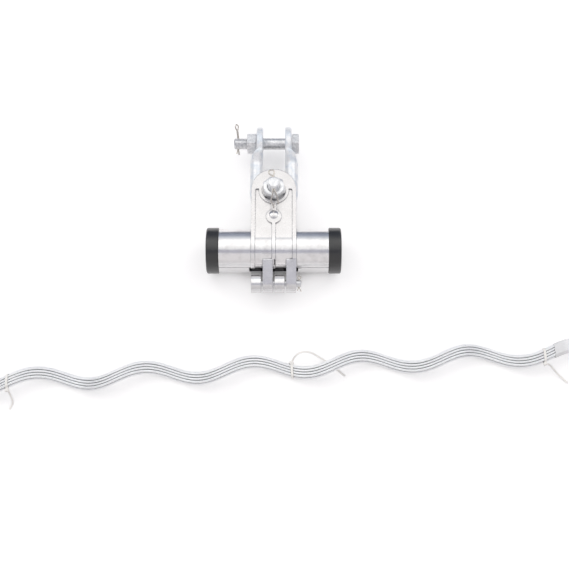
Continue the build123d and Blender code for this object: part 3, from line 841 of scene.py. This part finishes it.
@dataclass
class Hardware:
    """M16 bolts and nuts with turned corners, threads and split pins."""

    bolt_radius: float = 8.0
    across_flats: float = 27.0
    head_height: float = 10.0
    nut_height: float = 13.0
    nut_mouth: float = 1.1
    face_share: float = 0.96
    washer_share: float = 0.95
    washer_height: float = 0.6
    thread_pitch: float = 2.0
    thread_depth: float = 0.62
    crest_drop: float = 0.12
    crest_flat: float = 0.25
    thread_lead: float = 0.2
    thread_clearance: float = 0.02
    plain_end: float = 1.6
    fillet: tuple[float, float] = (0.4, 0.05)
    end_bevel: tuple[tuple[float, float], ...] = ((1.2, 0.6), (0.1, 1.4), (0.0, 1.9))
    steps_per_pitch: int = 8
    points: int = 72
    wire_sides: int = 14

    def ring(self, height: float, radius: float | Callable[[float], float], place: Matrix) -> list[Vector]:
        """A ring about the bolt's axis.

        Args:
            height: where it lies along the bolt, in millimetres.
            radius: its radius, or the function that gives the radius at an angle.
            place: the bolt's place in the scene.

        Returns:
            The ring's points.
        """
        points = []
        for index in range(self.points):
            turn = 2 * math.pi * index / self.points
            reach = radius(turn) if callable(radius) else radius
            points.append(place @ (Vector((reach * math.cos(turn), reach * math.sin(turn), height)) * MM))
        return points

    def rings(self, outline: Sequence[tuple[float, float]], place: Matrix) -> list[list[Vector]]:
        """Round rings from their heights and radii."""
        return [self.ring(height, radius, place) for height, radius in outline]

    def hexagon_ring(self, height: float, limit: float, place: Matrix) -> list[Vector]:
        """A hexagon with its corners held inside a limit radius."""
        def radius(turn: float) -> float:
            """How far its side is from the middle at an angle."""
            return min(self.across_flats / 2 / math.cos(turn % (math.pi / 3) - math.pi / 6), limit)

        return self.ring(height, radius, place)

    def chamfered(self, low: float, high: float, place: Matrix, both: bool) -> list[list[Vector]]:
        """The rings of a hexagonal block whose corners are turned off.

        Args:
            low: its lower end along the bolt.
            high: its upper end.
            place: the bolt's place.
            both: whether the lower corners are turned off too.

        Returns:
            The rings from low to high.
        """
        corner = self.across_flats / 2 / math.cos(math.pi / 6)
        face = self.across_flats / 2 * self.face_share
        slope = math.tan(math.radians(30))
        drops = [index / 6 * (corner - face) * slope for index in range(7)]
        lower = [self.hexagon_ring(low + d, face + d / slope, place) for d in drops]
        upper = [self.hexagon_ring(high - d, face + d / slope, place) for d in reversed(drops)]
        return (lower if both else [self.hexagon_ring(low, corner, place)]) + upper

    def thread_ring(self, height: float, place: Matrix) -> list[Vector]:
        """One ring of the thread, its groove turning with the height."""
        def radius(turn: float) -> float:
            """The thread's radius at an angle."""
            phase = (height / self.thread_pitch - turn / (2 * math.pi)) % 1.0
            groove = 1 - abs(2 * phase - 1)
            depth = max(0.0, (1 + self.crest_flat) * groove - self.crest_flat)
            return self.bolt_radius - self.crest_drop - self.thread_depth * depth

        return self.ring(height, radius, place)

    def bolt(self, name: str, length: float, thread_from: float, place: Matrix, body: str,
             tone: float) -> None:
        """A hexagon bolt with a cut thread and a bevelled end.

        Args:
            name: the solid it stands for.
            length: the length under the head, in millimetres.
            thread_from: where the thread starts under the head.
            place: the bolt's place: its head is below the origin and its shank points up Z.
            body: the body it rides on.
            tone: how much lighter this copy of the zinc is painted, for the brighter light on its part.
        """
        flip = Matrix.Diagonal((1, 1, -1, 1))
        head = self.chamfered(self.washer_height, self.head_height, place @ flip, both=False)[::-1]
        washer, radius = self.across_flats / 2 * self.washer_share, self.bolt_radius
        rise, swell = self.fillet
        shank = self.rings([(-self.washer_height, washer), (0, washer), (0, radius + swell), (rise, radius),
                            (thread_from, radius)], place)
        start = thread_from + self.thread_lead
        step = self.thread_pitch / self.steps_per_pitch
        count = round((length - thread_from - self.plain_end) / step) + 1
        thread = [self.thread_ring(start + step * index, place) for index in range(count)]
        end = self.rings([(length - back, radius - drop) for back, drop in self.end_bevel], place)
        mesh = Former.through(head + shank + thread + end)
        Former.piece(name + "_cut", mesh, MattZinc(tone), body, "zinc_steel", [name])

    def nut(self, name: str, place: Matrix, body: str, tone: float) -> None:
        """A hexagon nut with a sunk mouth at both ends of its hole."""
        hole, top, mouth = self.bolt_radius + self.thread_clearance, self.nut_height, self.nut_mouth
        block = self.chamfered(0, top, place, both=True)
        inside = [(top, hole + mouth), (top - mouth, hole), (mouth, hole), (0, hole + mouth)]
        mesh = Former.through(block + self.rings(inside, place), closed=True)
        Former.piece(name + "_cut", mesh, MattZinc(tone), body, "zinc_steel", [name])

    def split_pin(self, pin: "SplitPin", place: Matrix) -> None:
        """Makes a split pin in its place, its eye up Z and its spread legs down."""
        line = smooth_line([place @ (point * MM) for point in pin.route()], 5)
        up = (place.to_3x3() @ Vector((0, 1, 0))).normalized()
        mesh = Former.through(swept(line, round_section(pin.wire * MM, self.wire_sides), up))
        Former.piece(pin.name + "_wire", mesh, StainlessWire(), pin.body, "stainless_wire", [pin.name])


@dataclass
class SplitPin:
    """A split pin of doubled wire, whose eye stands off the bolt and leans to one side."""

    name: str
    body: str
    left_leg: Sequence[Triple]
    right_leg: Sequence[Triple]
    stand_off: float
    lean: float
    wire: float = 1.0
    eye: float = 4.0
    bore: float = 8.0
    half_gap: float = 0.025
    eye_share: float = 0.92

    def route(self) -> list[Vector]:
        """The wire's middle line, in millimetres, from one leg's tip to the other's."""
        strand = self.wire + self.half_gap
        neck = self.wire + self.stand_off
        eye = self.eye * self.eye_share
        eye_height = neck + eye + self.wire
        outside = [(-strand, neck * 0.5), (-strand, neck)]
        for degrees in range(225, -46, -30):
            turn = math.radians(degrees)
            outside.append((eye * math.cos(turn), eye_height + eye * math.sin(turn)))
        outside += [(strand, neck), (strand, neck * 0.5)]
        lean = math.radians(self.lean)
        corner = strand * math.tan(lean / 2)
        route = [Vector((-strand - out, back, -self.bore - down))
                 for out, down, back in reversed(self.left_leg)]
        route += [Vector((-strand, 0, -self.bore * 0.5)), Vector((-strand, 0, self.bore * 0.5)),
                  Vector((-strand, 0, self.bore + corner))]
        for across, height in outside:
            route.append(Vector((across * math.cos(lean) + height * math.sin(lean), 0,
                                 self.bore + height * math.cos(lean) - across * math.sin(lean))))
        route += [Vector((strand, 0, self.bore - corner)), Vector((strand, 0, self.bore * 0.5)),
                  Vector((strand, 0, -self.bore * 0.5))]
        return route + [Vector((strand + out, back, -self.bore - down)) for out, down, back in self.right_leg]


def turned(x: float, y: float, z: float, *turns: tuple[str, float]) -> Matrix:
    """A place in millimetres with turns about its own axes, in order, for the scene in metres."""
    place = Matrix.Translation(Vector((x, y, z)) * MM)
    for axis, degrees in turns:
        place = place @ Matrix.Rotation(math.radians(degrees), 4, axis)
    return place


@dataclass
class Fasteners:
    """Every bolt, nut and pin in its place."""

    housing_bolt_y: float = 78.1
    housing_nut_turn: float = 40.0
    head_seat_z: float = 21.0
    nut_seat_z: float = 25.0
    housing_length: float = 72.0
    shackle_bolt_y: float = 161.0
    shackle_turn: float = 22.0
    shackle_pin_turn: float = 60.0
    shackle_length: float = 80.5
    ear_side_x: float = 24.75
    pin_inset: float = 5.5
    hinge_y: float = -47.4
    hinge_half: float = 30.0
    hinge_stub: float = 7.0
    hinge_radius: float = 5.0
    hinge_pin_inset: float = 3.4
    hinge_head: tuple[tuple[float, float], ...] = ((0.0, 6.6), (0.3, 7.2), (0.9, 7.5), (3.5, 7.5))
    hinge_end: tuple[tuple[float, float], ...] = ((1.2, 0.0), (0.2, 0.9), (0.0, 1.3))
    housing_thread: float = 38.0
    shackle_thread: float = 40.0
    # Painted light: how much lighter each part's zinc is painted, for how brightly it is lit.
    housing_lit_tone: float = 1.12
    shackle_bolt_lit_tone: float = 1.0
    shackle_nut_lit_tone: float = 1.08

    def dress(self, hardware: Hardware) -> None:
        """Makes them all."""
        self.dress_housing_bolt(hardware)
        self.dress_shackle_bolt(hardware)
        self.dress_hinge_pin(hardware)

    def dress_housing_bolt(self, hardware: Hardware) -> None:
        """The bolt through both plates, its nut and its split pin."""
        y, z = self.housing_bolt_y, self.head_seat_z
        nut_place = turned(0, y, self.nut_seat_z, ("Z", self.housing_nut_turn))
        hardware.bolt("housing_bolt", self.housing_length, self.housing_thread, turned(0, y, -z), "clamp",
                      self.housing_lit_tone)
        hardware.nut("housing_nut", nut_place, "clamp", self.housing_lit_tone)
        pin = SplitPin(
            "housing_split_pin", "clamp",
            [(0.0, 1.0, 0.0), (0.7, 7.5, 2.0), (2.6, 14.5, 6.0), (0.2, 18.5, 8.5), (-1.2, 23.0, 11.0)],
            [(0.0, 1.0, 0.0), (2.6, 7.0, 2.0), (4.4, 13.0, 5.0), (5.2, 18.5, 8.5)], stand_off=3.3, lean=-19)
        hardware.split_pin(pin, turned(0, y, self.housing_length - z - self.pin_inset, ("X", -90)))

    def dress_shackle_bolt(self, hardware: Hardware) -> None:
        """The bolt across the shackle's ears, its nut and its split pin."""
        axis = turned(0, self.shackle_bolt_y, 0, ("X", self.shackle_turn))
        head_place = axis @ turned(self.ear_side_x, 0, 0, ("Y", -90))
        nut_place = axis @ turned(-self.ear_side_x, 0, 0, ("Y", -90))
        hardware.bolt("shackle_bolt", self.shackle_length, self.shackle_thread, head_place, "shackle_bolt",
                      self.shackle_bolt_lit_tone)
        hardware.nut("shackle_nut", nut_place, "shackle_bolt", self.shackle_nut_lit_tone)
        pin_x = self.ear_side_x - self.shackle_length + self.pin_inset
        pin = SplitPin(
            "shackle_split_pin", "shackle_bolt", [(0.0, 1.0, 0.0), (1.5, 3.5, 0.0), (2.5, 6.0, 0.0)],
            [(0.0, 1.0, 0.0), (1.0, 4.0, 0.0), (1.5, 7.0, 0.0)], stand_off=9.5, lean=-12)
        hardware.split_pin(pin, axis @ turned(pin_x, 0, 0, ("X", -90), ("Z", self.shackle_pin_turn)))

    def dress_hinge_pin(self, hardware: Hardware) -> None:
        """The headed hinge pin with its rounded head, its bevelled end and its small split pin."""
        pin = SplitPin(
            "hinge_split_pin", "hinge_pin", [(0.0, 0.8, 0.0), (0.8, 3.2, 0.0), (1.2, 5.4, 0.0)],
            [(0.0, 0.8, 0.0), (1.2, 3.6, 0.0), (2.2, 6.2, 0.0)], stand_off=0.5, lean=8, wire=0.7, eye=2.2,
            bore=self.hinge_radius)
        pin_x = self.hinge_half + self.hinge_stub - self.hinge_pin_inset
        hardware.split_pin(pin, turned(pin_x, self.hinge_y, 0, ("X", -90)))
        low, high, radius = -self.hinge_half, self.hinge_half + self.hinge_stub, self.hinge_radius
        head = [(low + depth, reach) for depth, reach in self.hinge_head]
        end = [(high - back, radius - drop) for back, drop in self.hinge_end]
        profile = [(low, 0), *head, (head[-1][0], radius), *end, (high, 0)]
        mesh = Former.spun([(x * MM, r * MM) for x, r in profile], steps=48)
        bmesh.ops.translate(mesh, verts=mesh.verts[:], vec=(0, self.hinge_y * MM, 0))
        Former.piece("hinge_pin_turned", mesh, PinSteel(), "hinge_pin", "pin_steel", ["hinge_pin"])


# The shackle


@dataclass
class Shackle:
    """The forged shackle: a bent bar whose ends are flattened into round ears."""

    bar_radius: float = 9.0
    inner_radius: float = 15.2
    bend_centre_y: float = 85.0
    bar_end_y: float = 127.0
    neck_middle_y: float = 138.5
    neck_middle_thickness: float = 15.5
    ear_start_y: float = 145.4
    bolt_y: float = 161.0
    ear_thickness: float = 9.3
    ear_radius: float = 23.0
    ear_crown: float = 3.0
    neck_half_width: float = 17.5
    ear_squareness: float = 0.72
    hole_radius: float = 8.08
    cutter_length: float = 80.0
    sides: int = 40
    neck_steps: int = 14
    bend_steps: int = 26

    def thickness(self, y: float) -> float:
        """How thick the leg is from its inner side outwards, where it flattens into the ear."""
        first_run = self.neck_middle_y - self.bar_end_y
        change = self.neck_middle_thickness - 2 * self.bar_radius
        if y <= self.neck_middle_y:
            return 2 * self.bar_radius + change * ((y - self.bar_end_y) / first_run) ** 2
        if y >= self.ear_start_y:
            return self.ear_thickness
        run = self.ear_start_y - self.neck_middle_y
        t = (y - self.neck_middle_y) / run
        slope = 2 * change / first_run * run
        return (self.neck_middle_thickness * (2 * t ** 3 - 3 * t ** 2 + 1) + slope * (t ** 3 - 2 * t ** 2 + t)
                + self.ear_thickness * (3 * t ** 2 - 2 * t ** 3) + slope * (t ** 3 - t ** 2))

    def bar_ring(self, point: Vector, outward: Vector) -> list[Vector]:
        """A round section of the bar, square to its line."""
        return [(point + outward * across + Vector((0, 0, up))) * MM
                for across, up in round_section(self.bar_radius, self.sides, 0.5)]

    def flat_ring(self, side: int, y: float) -> list[Vector]:
        """A section of the flattened end or of the ear, square to Y.

        Args:
            side: -1 for the left ear and 1 for the right one.
            y: where the section lies.

        Returns:
            The ring's points.
        """
        share = min(1.0, (y - self.bar_end_y) / (self.ear_start_y - self.bar_end_y))
        ease = share * share * (3 - 2 * share)
        half = self.bar_radius + (self.neck_half_width - self.bar_radius) * ease
        if y > self.ear_start_y:
            disc_half = math.sqrt(max(self.ear_radius ** 2 - (y - self.bolt_y) ** 2, 0.04))
            half = max(disc_half, half) if y < self.bolt_y - self.bar_radius else disc_half
        outer, crown = self.thickness(y), self.ear_crown
        power = 1 - self.ear_squareness * ease
        ring = []
        for corner in round_section(1.0, self.sides, 0.5):
            outwards, up = (math.copysign(abs(value) ** power, value) for value in corner)
            z = up * half
            x = outer / 2 * (1 + outwards)
            edge = self.ear_radius - math.hypot(y - self.bolt_y, z)
            if share >= 1.0 and edge < crown:
                x = min(x, outer - crown + math.sqrt(max(crown ** 2 - (crown - max(edge, 0)) ** 2, 0)))
            ring.append(Vector((side * (self.inner_radius + x), y, z)) * MM)
        return ring

    def dress(self) -> None:
        """Makes the shackle in one sweep from ear to ear, with its two holes."""
        neck_step = (self.ear_start_y - self.bar_end_y) / self.neck_steps
        neck = [self.bar_end_y + neck_step * index for index in range(self.neck_steps + 1)]
        start = math.asin((self.ear_start_y - self.bolt_y) / self.ear_radius)
        turn_step = (math.pi / 2 - start) / self.bend_steps
        disc = [self.bolt_y + self.ear_radius * math.sin(start + turn_step * index)
                for index in range(1, self.bend_steps + 1)]
        left = [self.flat_ring(-1, y) for y in reversed(neck + disc)]
        right = [self.flat_ring(1, y) for y in neck + disc]
        bend = []
        for index in range(self.bend_steps + 1):
            turn = math.pi * index / self.bend_steps
            outward = Vector((-math.cos(turn), -math.sin(turn), 0))
            centre = Vector((0, self.bend_centre_y, 0)) + outward * (self.inner_radius + self.bar_radius)
            bend.append(self.bar_ring(centre, outward))
        mesh = Former.through(left + bend + right)
        bmesh.ops.remove_doubles(mesh, verts=mesh.verts[:], dist=1e-6)
        bmesh.ops.recalc_face_normals(mesh, faces=mesh.faces[:])
        finish = GalvanisedSteel()
        piece = Former.piece("shackle_forged", mesh, finish, "shackle", "galvanised_steel", ["shackle"])
        bore_through(piece, turned(0, self.bolt_y, 0, ("Y", 90)), self.hole_radius, self.cutter_length)


def bore_through(piece: bpy.types.Object, place: Matrix, radius: float, length: float) -> None:
    """Cuts a round hole through a piece.

    Args:
        piece: the piece.
        place: the hole's middle, with its axis along Z.
        radius: its radius in millimetres.
        length: how long the cutter is.
    """
    mesh = bmesh.new()
    bmesh.ops.create_cone(
        mesh, cap_ends=True, segments=64, radius1=radius * MM, radius2=radius * MM, depth=length * MM)
    bmesh.ops.transform(mesh, matrix=place, verts=mesh.verts[:])
    cutter = into_scene("cutter", mesh)
    cut =piece.modifiers.new("hole", "BOOLEAN")
    cut.object = cutter
    cut.operation = "DIFFERENCE"
    cut.solver = "EXACT"
    bpy.context.view_layer.update()
    result = bpy.data.meshes.new_from_object(piece.evaluated_get(bpy.context.evaluated_depsgraph_get()))
    piece.modifiers.clear()
    piece.data = result
    bpy.data.objects.remove(cutter)


# The housing and its liner


@dataclass
class Liner:
    """The two halves of the rubber liner."""

    half_barrel: float = 73.5
    rim_gap: float = 0.2
    rim_width: float = 16.4
    rim_radius: float = 31.0
    rim_corner: float = 2.6
    liner_radius: float = 24.8
    bore_radius: float = 10.7
    bell_length: float = 6.0
    bell_depth: float = 4.0
    split: float = 0.15
    rim_back: float = 0.5
    corner_steps: int = 6
    spin_steps: int = 48

    def profile(self) -> list[tuple[float, float]]:
        """The liner's section from its middle to its right end, then mirrored."""
        start = self.half_barrel + self.rim_gap
        end = start + self.rim_width
        right = []
        quarter = [(1 - out, 1 - up) for out, up in round_section(1.0, 4 * self.corner_steps)]
        for out, up in quarter[:self.corner_steps + 1]:
            right.append((end - self.bell_length * up, self.bore_radius + self.bell_depth * out))
        for out, up in quarter[:self.corner_steps + 1]:
            right.append((end - self.rim_corner * out, self.rim_radius - self.rim_corner * up))
        back, radius = self.rim_back, self.rim_radius
        right += [(start + back, radius), (start, radius - back), (start, self.liner_radius)]
        return right + [(-x, radius) for x, radius in reversed(right)]

    def dress(self) -> None:
        """Makes both halves by spinning the section half a turn."""
        lift = math.degrees(math.asin(self.split / self.rim_radius))
        for name, start in (("front_insert", lift), ("back_insert", 180 + lift)):
            profile = [(x * MM, r * MM) for x, r in self.profile()]
            mesh = Former.spun(profile, 180 - 2 * lift, self.spin_steps, start)
            Former.piece(name + "_moulded", mesh, LinerRubber(), "clamp", "rubber", [name])


@dataclass
class Housing:
    """The two castings: their solids carry over, with smooth shading."""

    nodes: tuple[str, str] = ("front_housing", "back_housing")
    weld: float = 2e-6
    flat_degrees: float = 0.6
    weight: int = 90

    def dress(self) -> None:
        """Makes a merged, smoothly shaded copy of each casting's solid."""
        for node in self.nodes:
            mesh = bmesh.new()
            mesh.from_mesh(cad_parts[node].data)
            bmesh.ops.remove_doubles(mesh, verts=mesh.verts[:], dist=self.weld)
            bmesh.ops.dissolve_limit(
                mesh, angle_limit=math.radians(self.flat_degrees), verts=mesh.verts[:], edges=mesh.edges[:],
                delimit=set())
            piece = Former.piece(
                node + "_cast", mesh, PolishedCasting(), "clamp", "cast_aluminium", [node], Edge.CRISP)
            level = piece.modifiers.new("level_faces", "WEIGHTED_NORMAL")
            level.mode = "FACE_AREA"
            level.weight = self.weight
            level.keep_sharp = True


# The studio


@dataclass
class Studio:
    """The floor, the light and the camera."""

    floor_z: float = -0.0311
    floor_size: float = 3.0
    floor_end_y: float = 0.55
    camera_place: Triple = (0.0144, -0.574, 1.405)
    target: Triple = (0.0144, -0.0485, 0.0)
    lens: float = 71.3
    sky_strength: float = 1.0
    lamp_shade: Triple = (1.0, 0.985, 0.97)
    key_size: tuple[float, float] = (1.8, 1.3)
    corner_size: tuple[float, float] = (1.0, 1.0)
    key_energy: float = 1.9
    key_place: Triple = (-0.2, 0.70, 1.9)
    corner_energy: float = 4.4
    corner_place: Triple = (1.3, 1.0, 1.5)
    far_y: float = 2.5
    near_y: float = -2.4
    side_x: float = 2.4
    far_top_z: float = 3.0
    near_top_z: float = 3.2
    side_top_z: float = 1.8
    strip_z: float = 2.5
    strip_start_y: float = -0.69
    strip_end_y: float = -1.73
    card_half_width: float = 2.4
    card_low_z: float = -1.0
    near_shade: Triple = (0.76, 0.74, 0.75)
    strip_shade: Triple = (0.42, 0.42, 0.49)
    side_shade: Triple = (0.36, 0.37, 0.42)

    def build(self) -> None:
        """Sets up the whole studio."""
        self.make_floor()
        self.make_sky()
        self.make_cards()
        self.make_lamps()
        self.make_camera()

    def make_sheet(self, name: str, finish: Finish, corners: Sequence[Triple]) -> bpy.types.Object:
        """Puts one flat sheet into the studio, from its corners in metres."""
        mesh = bmesh.new()
        mesh.faces.new([mesh.verts.new(corner) for corner in corners])
        sheet = into_scene(name, mesh, finish)
        return sheet

    def make_floor(self) -> None:
        """A wide flat floor just under the object."""
        half, z = self.floor_size / 2, self.floor_z
        near, far = self.floor_end_y - self.floor_size, self.floor_end_y
        corners = [(-half, near, z), (half, near, z), (half, far, z), (-half, far, z)]
        self.make_sheet("floor", StudioFloor(), corners)

    def make_sky(self) -> None:
        """An even white room."""
        world = bpy.data.worlds.new("room")
        bpy.context.scene.world = world
        shader = Shader(world)
        light = shader.node("Background", {}, {"Color": colour(1, 1, 1), "Strength": self.sky_strength})
        shader.finish(light, "OutputWorld")

    def make_cards(self) -> None:
        """The studio's cards, which polished metal mirrors and the camera never sees."""
        wide, low = self.card_half_width, self.card_low_z
        far, near, side = self.far_y, self.near_y, self.side_x
        side_finish = PlainCard("side", self.side_shade)
        upright = [
            ("far_card", FarCard(), (-wide, far), (wide, far), self.far_top_z),
            ("near_card", PlainCard("near", self.near_shade), (-wide, near), (wide, near), self.near_top_z),
            ("side_card_-1", side_finish, (-side, near), (-side, far), self.side_top_z),
            ("side_card_1", side_finish, (side, near), (side, far), self.side_top_z)]
        cards = [(name, finish, [(*start, low), (*end, low), (*end, top), (*start, top)])
                 for name, finish, start, end, top in upright]
        start, end, high = self.strip_start_y, self.strip_end_y, self.strip_z
        strip = [(-wide, start, high), (wide, start, high), (wide, end, high), (-wide, end, high)]
        cards.append(("strip_card", PlainCard("strip", self.strip_shade), strip))
        for name, finish, corners in cards:
            self.make_sheet(name, finish, corners).visible_camera = False

    def make_lamps(self) -> None:
        """A broad soft lamp beyond the top of the picture, and a weaker one at each upper corner."""
        x, y, z = self.corner_place
        lamps = [("key", self.key_place, self.key_size, self.key_energy),
                 ("left_corner", (-x, y, z), self.corner_size, self.corner_energy),
                 ("right_corner", (x, y, z), self.corner_size, self.corner_energy)]
        for name, place, size, energy in lamps:
            data = bpy.data.lights.new(name, "AREA")
            data.shape = "RECTANGLE"
            data.size, data.size_y = size
            data.energy = energy
            data.color = self.lamp_shade
            lamp = bpy.data.objects.new(name, data)
            lamp.location = place
            lamp.rotation_euler = (Vector((0, 0, 0)) - lamp.location).to_track_quat("-Z", "Y").to_euler()
            bpy.context.scene.collection.objects.link(lamp)

    def make_camera(self) -> None:
        """The camera at the photograph's viewing angle."""
        data = bpy.data.cameras.new("camera")
        data.lens = self.lens
        camera = bpy.data.objects.new("camera", data)
        camera.location = self.camera_place
        aim = Vector(self.target) - Vector(self.camera_place)
        camera.rotation_euler = aim.to_track_quat("-Z", "Y").to_euler()
        bpy.context.scene.collection.objects.link(camera)
        bpy.context.scene.camera = camera


def main() -> None:
    """Builds the studio and dresses every part of the clamp and its rods."""
    logging.basicConfig(level=logging.INFO, format="%(message)s")
    bpy.context.scene.view_settings.view_transform = "Standard"
    Studio().build()
    Housing().dress()
    Liner().dress()
    Shackle().dress()
    Fasteners().dress(Hardware())
    bundle = RodBundle()
    bundle.dress()
    ties = [
        CableTie("tie_left", place=1.63, head_side=-1, tail=[(1, -16, 9), (3, -25, 1.5), (-1, -34, 0.6)]),
        CableTie("tie_middle", place=22.55, head_side=1, tail=[
            (5, 13.5, 14), (13, 18, 17), (25, 18.5, 13), (39, 12.5, 5), (55, 1, 0.8), (70, -13, 0.6)]),
        CableTie("tie_right", place=41.25, head_side=-1, tail=[
            (8, -16, 12.5), (19, -26, 3.5), (31, -38, 0.7)]),
    ]
    for tie in ties:
        tie.dress(bundle)
    EndTape().dress(bundle)


if __name__ == "__main__":
    main()
